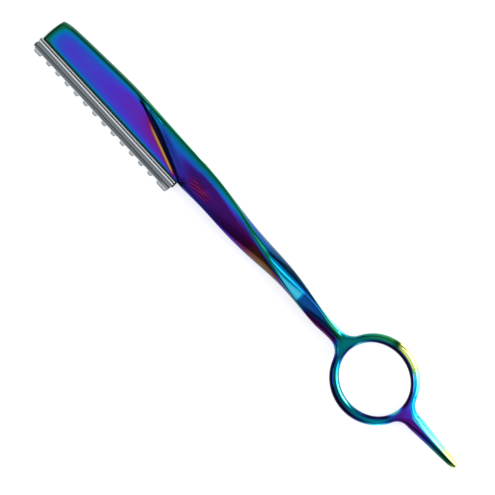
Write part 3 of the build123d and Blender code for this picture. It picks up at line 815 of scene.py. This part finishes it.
def ripples(x, y, film, painted_shading):
    """A dark blue leaf along the crease, a dark violet patch in the hollow behind the heel,
    deepened with painted shade, plum waves in it, with lighter crests about 0.9 mm apart that
    wander by a slower wave, and a spot of painted shade at the heel."""
    past = (y - between(CREASE, x)[:, 0]) * CREASE_SQUARE
    leaf_part = np.exp(-((past - 2.1) / 0.8) ** 2)
    leaf_part = leaf_part * soft_step(x, 43, 50) * (1 - soft_step(x, 58, 62))
    film, painted_shading = mix(film, 0.33, leaf_part), mix(painted_shading, 0.42, leaf_part)
    hollow = np.exp(-((x - 64.5) / 6) ** 2 - ((y - 5.4 + 0.06 * (x - 64)) / 1.6) ** 2)
    film, painted_shading = mix(film, 0.24, hollow), mix(painted_shading, 0.28, hollow)
    waves = np.exp(-((x - 67.5) / 4.6) ** 4 - ((y - 3.5 + 0.04 * (x - 67)) / 1.6) ** 4)
    crest = 0.5 + 0.5 * np.sin(6.8 * (y - 0.14 * (x - 62)) + 1.5 * np.sin(0.7 * x + 0.5 * y))
    film, painted_shading = mix(film, 0.13, waves), mix(painted_shading, 0.25 + 0.95 * crest ** 3, waves)
    # painted shade: a dark spot in the heel corner
    corner = np.exp(-((x - 62.2) / 1.2) ** 2 - ((y - 1.6) / 0.9) ** 2)
    return film, mix(painted_shading, 0.06, corner)


def neck_shade(x, y, film, painted_shading):
    """Painted shade: a black band on the lower half of the neck, and darker purple below it."""
    line = 2.9 + 1.2 * soft_step(x, 115, 125)
    along = soft_step(x, 114, 119) * (1 - soft_step(x, 130, 134))
    under = soft_step(line - y, 0.35, 0.8) * along
    dark = np.exp(-((y - line) / 0.5) ** 2) * along
    return mix(film, 0.15, under), mix(mix(painted_shading, 0.3, under), 0.04, dark)


def painted_window_reflection(x, y, turn, film, painted_shading):
    """A painted reflection: one bright cyan patch on the face above the ridge, with a straight
    upper and rear edge, and a dark line of painted shade that arches over it."""
    upper = 5.5 + 0.037 * (x - 97) - y
    patch = soft_step(upper, 0, 0.3) * soft_step(x, 96, 98.5) * (1 - soft_step(x, 112.8, 113.3))
    patch = patch * soft_step(turn, 245, 255) * (1 - soft_step(turn, 345, 356))
    arch = 6.1 + 1.5 * soft_step(x, 96, 105) - 0.04 * np.maximum(x - 105, 0)
    shade = np.exp(-((y - arch) / 0.4) ** 2) * soft_step(x, 94, 97) * (1 - soft_step(x, 106, 113))
    painted_shading = mix(painted_shading, 0.06, shade * (turn > 240))
    return mix(film, 0.545, patch), mix(painted_shading, 2.6, patch)


def ring_film_and_shading(points):
    """Film and painted shading go round the ring, in three lines side by side: at the bore, midway
    and outside, with painted highlights where the shading is high and painted shade where it is
    low.  The bore's own edge gets a dark line of painted shade."""
    out = points[:, :2] - RING_CENTRE
    angle = np.arctan2(out[:, 1], out[:, 0])
    bore = oval_reach(BORE_OVAL, angle)
    share = (np.hypot(*out.T) - bore) / (oval_reach(OUTER_OVAL, angle) - bore)
    lines = between(RING_FILM_AND_SHADING, np.degrees(angle))
    inner, outer = 1 - soft_step(share, 0.22, 0.42), soft_step(share, 0.5, 0.75)
    film, painted_shading = (mix(mix(lines[:, i + 1], lines[:, i], inner), lines[:, i + 2], outer)
                  for i in (0, 3))
    return film, mix(painted_shading, 0.12, 1 - soft_step(share, 0.02, 0.16))


def tail_film_and_shading(points, normals):
    """The film of the upper and the lower face of the tail, the upper face with a painted highlight
    and the lower one with painted shade, and a painted highlight line below its ridge.
    """
    upper_film, lower_film, upper_painted_shading, lower_painted_shading = between(TAIL_FILM_AND_SHADING, points[:, 0]).T
    upper = soft_step(normals[:, 1], -0.05, 0.12)
    light = np.exp(-((normals[:, 1] + 0.3) / 0.1) ** 2)
    return mix(lower_film, upper_film, upper), mix(lower_painted_shading, upper_painted_shading, upper) + 0.6 * light


# x, and how far past the crease its band of painted shade reaches
CREASE_SHADE_REACH = [(30, 0.3), (36.5, 0.7), (44.2, 1.5), (52.0, 1.3), (59.7, 0.8), (64.0, 0.5)]
# The band along the upper outline; its tone column is painted shading, a painted highlight where
# above 1.
TOP_BAND = [  # distance from the upper outline, film, tone
    (0.0, 0.74, 1.2), (0.5, 0.72, 1.6), (1.2, 0.62, 1.7), (1.9, 0.5, 1.35), (2.8, 0.43, 1.15),
    (5.0, 0.38, 0.85)]


TO_RING, TO_TAIL = (129, 133), (160.5, 164)       # x between which the finishes change over
PAINTED_SHADING_LIMITS = (0.03, 3.6)


def film_and_painted_shading(points, normals):
    """The four parts' film and painted shading, each handed over to the next within a few
    millimetres.  Painted shade darkens the drop behind the crease, the face below the slot edge and
    the shoulder where the crease begins, and the steep flanks, which are greener too."""
    x, y = points[:, 0], points[:, 1]
    film, painted_shading, crease = head_film_and_shading(points)
    past = np.maximum(soft_step(-crease, 0.1, 0.5) * soft_step(x, 30, 44),
                      soft_step(x, 61.4, 62.4))
    reach = between(CREASE_SHADE_REACH, x)[:, 0]
    # painted shade: a dark band past the crease, and the face below the slot edge
    painted_shade_mask = soft_step(-crease, -0.4, -0.15) * (1 - soft_step(-crease, reach - 0.2, reach + 0.15))
    painted_shade_mask = painted_shade_mask * soft_step(x, 33.5, 35.5) * (1 - soft_step(x, 62.5, 66) * soft_step(y, 1.2, 2.0))
    painted_shade_mask = np.maximum(painted_shade_mask, soft_step(-y, 0.05, 0.25) * (x < 61.5))
    # a line of painted shade on the shoulder where the crease begins
    shoulder_shade = np.exp(-((y - 9.5) / 0.5) ** 2) * soft_step(x, 32, 35) * (1 - soft_step(x, 42, 47))
    painted_shade_mask = np.maximum(painted_shade_mask, 0.92 * shoulder_shade)
    part = shank_film_and_shading(points, normals)
    film, painted_shading = mix(film, part[0], past), mix(painted_shading, part[1], past) * (1 - 0.97 * painted_shade_mask)
    for part, share in ((ring_film_and_shading(points), soft_step(x, *TO_RING)),
                        (tail_film_and_shading(points, normals), soft_step(x, *TO_TAIL))):
        film, painted_shading = mix(film, part[0], share), mix(painted_shading, part[1], share)
    # painted shade on the steep flanks
    steep = soft_step(1 - np.abs(normals[:, 2]), 0.55, 1.0) * (x < 158)
    painted_shading = mix(painted_shading, painted_shading * 0.35, steep)
    return np.clip(mix(film, 0.72, steep * 0.6), 0, 1), np.clip(painted_shading, *PAINTED_SHADING_LIMITS)


def mesh_arrays(mesh):
    """The points in drawing millimetres, and the normals."""
    points, normals = (np.empty(len(mesh.vertices) * 3, dtype=np.float32) for _ in range(2))
    mesh.vertices.foreach_get("co", points)
    mesh.vertex_normals.foreach_get("vector", normals)
    return points.reshape(-1, 3) / MM - ORIGIN, normals.reshape(-1, 3)


def add_attribute(mesh, name, values):
    """A number for each point, which the material reads by name."""
    layer = mesh.attributes.new(name, "FLOAT", "POINT")
    layer.data.foreach_set("value", np.asarray(values, dtype=np.float32))


# The guard's painted shading down from the slot edge: a painted highlight above 1, painted shade
# below.
GUARD_SHADING_TABLE = [  # distance below the slot edge, tone
    (-0.2, 2.3), (0.55, 2.2), (0.72, 0.3), (0.9, 0.2), (1.06, 2.0), (1.35, 2.4), (1.5, 0.58),
    (2.6, 0.5), (2.75, 0.2), (2.92, 0.22), (3.1, 0.8), (3.6, 0.8), (3.8, 2.2), (4.35, 2.2),
    (4.6, 0.8), (4.9, 0.6)]


def guard_light_and_shade(points, normals):
    """Painted light and shade on the guard: painted highlights on its hem, its teeth and its rear
    tab, grey on the leaf, and painted shade in the grooves and on steep flanks."""
    x, y = points[:, 0], points[:, 1]
    steep = soft_step(1 - np.abs(normals[:, 2]), 0.6, 1.0)
    tab = soft_step(x, 57.2, 57.8) * soft_step(-y, 3.0, 3.2) * (1 - soft_step(-y, 4.4, 4.6))
    painted_shading = mix(between(GUARD_SHADING_TABLE, -y)[:, 0], 2.2, tab)
    return np.clip(painted_shading * (1 - 0.5 * steep), 0.08, 2.4)


add_attribute(guard.data, "painted_shading", guard_light_and_shade(*mesh_arrays(guard.data)))
for piece in (strip, spine):
    add_attribute(piece.data, "painted_shading", np.ones(len(piece.data.vertices)))
for piece in (handle, rail):
    film, painted_shading = film_and_painted_shading(*mesh_arrays(piece.data))
    add_attribute(piece.data, "film", film)
    add_attribute(piece.data, "painted_shading", painted_shading)
    print(piece.name, "film", film.min().round(2), "to", film.max().round(2))

# %% [markdown]
# ## Surface effects shared by the metals
# No polished steel is perfect.  A group of nodes gives faint smears, which change the roughness,
# and a second group gives the fine drawn lines that rolled sheet keeps along its length.  A third
# multiplies a colour by the mesh's painted light and shade, and adds white as a painted highlight
# where that is very high.

# %% Node groups
def new_group(name, inputs, outputs):
    """An empty node group and its two end nodes.  Inputs are (label, kind, value), outputs are
    (label, kind), and a kind is Float or Color."""
    group = bpy.data.node_groups.new(name, "ShaderNodeTree")
    for label, kind, value in inputs:
        socket = group.interface.new_socket(label, in_out="INPUT", socket_type="NodeSocket" + kind)
        socket.default_value = value
    for label, kind in outputs:
        group.interface.new_socket(label, in_out="OUTPUT", socket_type="NodeSocket" + kind)
    return group, group.nodes.new("NodeGroupInput"), group.nodes.new("NodeGroupOutput")


def noise_node(tree, scale, detail, stretch=(1, 1, 1)):
    """Noise in the piece's own coordinates, drawn out along the axes with small numbers."""
    place = tree.nodes.new("ShaderNodeTexCoord")
    mapping = tree.nodes.new("ShaderNodeMapping")
    mapping.inputs["Scale"].default_value = stretch
    noise = tree.nodes.new("ShaderNodeTexNoise")
    noise.inputs["Scale"].default_value = scale
    noise.inputs["Detail"].default_value = detail
    tree.links.new(place.outputs["Object"], mapping.inputs["Vector"])
    tree.links.new(mapping.outputs["Vector"], noise.inputs["Vector"])
    return noise


def math_node(tree, operation, *values):
    """A Math node; each value is a number or an output socket."""
    node = tree.nodes.new("ShaderNodeMath")
    node.operation = operation
    for socket, value in zip(node.inputs, values):
        if hasattr(value, "is_output"):
            tree.links.new(value, socket)
        else:
            socket.default_value = value
    return node.outputs[0]


smears, entry, leave = new_group(
    "handling smears", [("Base", "Float", 0.1), ("Amount", "Float", 0.1)],
    [("Roughness", "Float"), ("Ripple", "Float")])
cloud = noise_node(smears, 90, 3)
above = math_node(smears, "SUBTRACT", cloud.outputs["Fac"], 0.4)
amount = math_node(smears, "MULTIPLY", math_node(smears, "MAXIMUM", above, 0),
                   entry.outputs["Amount"])
smears.links.new(math_node(smears, "ADD", amount, entry.outputs["Base"]),
                 leave.inputs["Roughness"])
smears.links.new(noise_node(smears, 160, 2).outputs["Fac"], leave.inputs["Ripple"])

lines, entry, leave = new_group(
    "drawn lines", [("Strength", "Float", 1.0)], [("Height", "Float"), ("Shade", "Float")])
fine = noise_node(lines, 3800, 2, (0.004, 1, 1)).outputs["Fac"]
broad = noise_node(lines, 1300, 3, (0.01, 1, 1)).outputs["Fac"]
both = math_node(lines, "ADD", math_node(lines, "MULTIPLY", fine, 0.5), broad)
lines.links.new(math_node(lines, "MULTIPLY", both, entry.outputs["Strength"]),
                leave.inputs["Height"])
lines.links.new(broad, leave.inputs["Shade"])

# Painted highlight: white is added for each unit of painted shading above the start.
PAINTED_WHITE_GAIN = 0.7                # white added for each unit of tone above the start
painted_shading_group, entry, leave = new_group(
    "painted_shading", [("Color", "Color", (1, 1, 1, 1)), ("Painted White From", "Float", 2.5)], [("Color", "Color")])
painted_shading_value = painted_shading_group.nodes.new("ShaderNodeAttribute")
painted_shading_value.attribute_name = "painted_shading"
painted_white = math_node(painted_shading_group, "SUBTRACT", painted_shading_value.outputs["Fac"], entry.outputs["Painted White From"])
painted_white = math_node(painted_shading_group, "MULTIPLY", math_node(painted_shading_group, "MAXIMUM", painted_white, 0), PAINTED_WHITE_GAIN)
deep = painted_shading_group.nodes.new("ShaderNodeVectorMath")
deep.operation = "MULTIPLY_ADD"
painted_shading_group.links.new(entry.outputs["Color"], deep.inputs[0])
painted_shading_group.links.new(painted_shading_value.outputs["Fac"], deep.inputs[1])
painted_shading_group.links.new(painted_white, deep.inputs[2])
painted_shading_group.links.new(deep.outputs[0], leave.inputs["Color"])
print("node groups:", [group.name for group in (smears, lines, painted_shading_group)])

# %% [markdown]
# ## Coated steel and bare steel
# The coated handle takes its colour from a ramp that the film runs along, with a little noise so
# that no band is perfectly even.  The guard, the strip and the spine are bare sheet, lighter or
# greyer, with drawn lines.

# %% Materials
def new_material(name, roughness):
    """A metal with the Principled shader."""
    material = bpy.data.materials.new(name)
    material.use_nodes = True
    tree = material.node_tree
    shader = tree.nodes["Principled BSDF"]
    shader.inputs["Metallic"].default_value = 1.0
    shader.inputs["Roughness"].default_value = roughness
    return material, tree, shader


def group_node(tree, group, **values):
    """A node group in a material, with its own values on its inputs."""
    node = tree.nodes.new("ShaderNodeGroup")
    node.node_tree = group
    for label, value in values.items():
        node.inputs[label].default_value = value
    return node


def add_bump(tree, shader, height, distance):
    """A bump of the given distance in metres, which follows the height."""
    bump = tree.nodes.new("ShaderNodeBump")
    bump.inputs["Distance"].default_value = distance
    tree.links.new(height, bump.inputs["Height"])
    tree.links.new(bump.outputs["Normal"], shader.inputs["Normal"])


def srgb(red, green, blue):
    """A colour as it looks on a screen, 0 to 255, as the linear values that Blender works in."""
    c = np.array([red, green, blue]) / 255
    return (*np.where(c <= 0.04045, c / 12.92, ((c + 0.055) / 1.055) ** 2.4).tolist(), 1.0)


def fill_ramp(ramp, stops):
    """A colour ramp's stops, each (place, colour)."""
    while len(ramp.elements) < len(stops):
        ramp.elements.new(0.5)
    for element, (place, colour) in zip(ramp.elements, stops):
        element.position = place
        element.color = colour


FILM_COLOURS = [
    (0.0, srgb(196, 178, 84)),
    (0.05, srgb(178, 104, 66)),
    (0.11, srgb(146, 36, 110)),
    (0.18, srgb(122, 38, 168)),
    (0.27, srgb(88, 60, 222)),
    (0.36, srgb(46, 92, 222)),
    (0.46, srgb(16, 128, 206)),
    (0.56, srgb(10, 140, 160)),
    (0.66, srgb(12, 118, 100)),
    (0.76, srgb(36, 122, 66)),
    (0.86, srgb(134, 164, 70)),
    (0.93, srgb(226, 228, 124)),
    (1.0, srgb(240, 238, 170)),
]


def add_painted_shading(tree, shader, colour):
    """The base colour is the given one, deepened by painted shade or paled by painted highlights,
    as the mesh's painted shading says.
    """
    node = group_node(tree, painted_shading_group)
    tree.links.new(colour, node.inputs["Color"])
    tree.links.new(node.outputs["Color"], shader.inputs["Base Color"])


coated, tree, shader = new_material("rainbow_coated_steel", 0.08)
film = tree.nodes.new("ShaderNodeAttribute")
film.attribute_name = "film"
drift = math_node(tree, "MULTIPLY", math_node(
    tree, "SUBTRACT", noise_node(tree, 70, 3, (0.5, 1, 1)).outputs["Fac"], 0.5), 0.1)
ramp = tree.nodes.new("ShaderNodeValToRGB")
fill_ramp(ramp.color_ramp, FILM_COLOURS)
tree.links.new(math_node(tree, "ADD", film.outputs["Fac"], drift), ramp.inputs["Fac"])
add_painted_shading(tree, shader, ramp.outputs["Color"])
wear = group_node(tree, smears, Base=0.05, Amount=0.25)
tree.links.new(wear.outputs["Roughness"], shader.inputs["Roughness"])
add_bump(tree, shader, wear.outputs["Ripple"], 0.00002)


def sheet_steel(name, dark, light, base, strength, bump):
    """Rolled or ground steel: its drawn lines vary the colour a little and stand in the bump, and
    the mesh's painted light and shade deepens or pales it.
    """
    material, tree, shader = new_material(name, base)
    drawn = group_node(tree, lines, Strength=strength)
    ramp = tree.nodes.new("ShaderNodeValToRGB")
    fill_ramp(ramp.color_ramp, [(0.35, dark), (0.65, light)])
    tree.links.new(drawn.outputs["Shade"], ramp.inputs["Fac"])
    add_painted_shading(tree, shader, ramp.outputs["Color"])
    wear = group_node(tree, smears, Base=base, Amount=0.3)
    tree.links.new(wear.outputs["Roughness"], shader.inputs["Roughness"])
    add_bump(tree, shader, drawn.outputs["Height"], bump)
    return material


guard_steel = sheet_steel(
    "guard_steel", srgb(190, 198, 202), srgb(240, 246, 248), 0.16, 1.0, 1.2e-5)
blade_steel = sheet_steel("blade_steel", srgb(178, 182, 186), srgb(214, 218, 222), 0.24, 0.6, 2e-5)
spine_steel = sheet_steel("spine_steel", srgb(160, 164, 170), srgb(200, 204, 210), 0.3, 0.8, 3e-5)
print("materials:", [steel.name for steel in (coated, guard_steel, blade_steel, spine_steel)])

# %% [markdown]
# ## Which part each piece stands for
# The handle's skin and its rail both stand for the CAD handle.  The guard rides on the body that
# slides off the head, and the strip and its spine ride together on the blade.

# %% Put the pieces in the frame
DRESSED = [
    (handle, coated, "handle", "handle", "coated_steel"),
    (rail, coated, "handle", "handle", "coated_steel"),
    (guard, guard_steel, "guard", "comb_guard", "guard_steel"),
    (strip, blade_steel, "blade", "blade_strip", "blade_steel"),
    (spine, spine_steel, "blade", "blade_spine", "spine_steel"),
]
for piece, material, body, node, slot in DRESSED:
    piece.data.materials.clear()
    piece.data.materials.append(material)
    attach(piece, body)
    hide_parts(node)
print("dressed:", [row[0].name for row in DRESSED])

# %% [markdown]
# ## Camera, floor and light
# The razor is seen from straight above, turned so that it runs down to the right.  The lens is
# long, as for a catalogue picture.  Bright soft boxes stand round it, and the sky between them
# is dimmer, so that polished metal shows both light and dark.

# %% Camera
VIEW_ANGLE = 47.3              # degrees between the razor and the picture's level line
FIELD = 0.15345                # width of the view at the razor, metres
AIM = (-0.00135, -0.00127)
CAMERA_HEIGHT = 1.4

camera_data = bpy.data.cameras.new("camera")
camera_data.sensor_width = 36
camera_data.lens = 36 * CAMERA_HEIGHT / FIELD
camera_data.dof.use_dof = False
camera = bpy.data.objects.new("camera", camera_data)
camera.location = (AIM[0], AIM[1], CAMERA_HEIGHT + ORIGIN[2] * MM)
camera.rotation_euler = (0, 0, np.radians(VIEW_ANGLE))
bpy.context.scene.collection.objects.link(camera)
bpy.context.scene.camera = camera
print("camera:", tuple(camera.location), "lens", round(camera_data.lens, 1))

# %% Floor and light
def stage_plane(name, side, material):
    """A square floor under the razor, a hair below its lowest point."""
    grid = np.linspace(-side / 2, side / 2, 9)
    x, y = np.meshgrid(grid, grid)
    points = np.stack([x, y, np.full_like(x, -0.00002)], axis=-1).reshape(-1, 3)
    mesh = bpy.data.meshes.new(name)
    mesh.from_pydata(points.tolist(), [], grid_faces(9, 9)[:, ::-1].tolist())
    mesh.materials.append(material)
    floor = bpy.data.objects.new(name, mesh)
    bpy.context.scene.collection.objects.link(floor)
    floor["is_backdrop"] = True


paper = bpy.data.materials.new("white_paper")
paper.use_nodes = True
paper_shader = paper.node_tree.nodes["Principled BSDF"]
paper_shader.inputs["Base Color"].default_value = (0.96, 0.96, 0.96, 1)
paper_shader.inputs["Roughness"].default_value = 0.9
paper_shader.inputs["Specular IOR Level"].default_value = 0.0
paper_shader.inputs["Emission Color"].default_value = (1, 1, 1, 1)
paper_shader.inputs["Emission Strength"].default_value = 0.6
FLOOR_SIDE = 6.0
stage_plane("floor", FLOOR_SIDE, paper)

SKY = [(0.0, (0.30, 0.31, 0.32, 1)), (0.35, (0.2, 0.21, 0.22, 1)), (0.75, (0.36, 0.38, 0.4, 1)),
       (0.93, (0.62, 0.64, 0.67, 1)), (1.0, (0.7, 0.72, 0.75, 1))]
world = bpy.data.worlds.new("studio")
world.use_nodes = True
sky = world.node_tree
direction = sky.nodes.new("ShaderNodeTexCoord")
split = sky.nodes.new("ShaderNodeSeparateXYZ")
shades = sky.nodes.new("ShaderNodeValToRGB")
fill_ramp(shades.color_ramp, SKY)
sky.links.new(direction.outputs["Generated"], split.inputs["Vector"])
sky.links.new(split.outputs["Z"], shades.inputs["Fac"])
sky.links.new(shades.outputs["Color"], sky.nodes["Background"].inputs["Color"])
bpy.context.scene.world = world


def soft_box(name, place, size, radiance):
    """A lamp that looks at the razor's middle; radiance is how bright its face looks."""
    data = bpy.data.lights.new(name, "AREA")
    data.shape = "RECTANGLE"
    data.size, data.size_y = size
    data.energy = radiance * np.pi * size[0] * size[1]
    lamp = bpy.data.objects.new(name, data)
    lamp.location = place
    lamp.rotation_euler = (-Vector(place)).to_track_quat("-Z", "Y").to_euler()
    bpy.context.scene.collection.objects.link(lamp)


soft_box("box_right", (0.75, 1.05, 0.75), (1.5, 1.1), 2.3)
soft_box("box_left", (-0.7, -0.9, 1.6), (0.5, 0.5), 3.0)
soft_box("strip_back", (-0.9, 1.3, 0.5), (1.2, 0.25), 1.6)

scene = bpy.context.scene
scene.view_settings.view_transform = "Standard"
scene.view_settings.look = "None"

# %% [markdown]
# ## Sizes, and the end
# The skin has to stay inside the CAD model's box, so both boxes are written down to compare.

# %% Write the sizes and finish
skin_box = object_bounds()
for label, (low, high) in (("CAD box", cad_box), ("visual box", skin_box)):
    print(label, [round(v * 1000, 2) for v in low], [round(v * 1000, 2) for v in high])
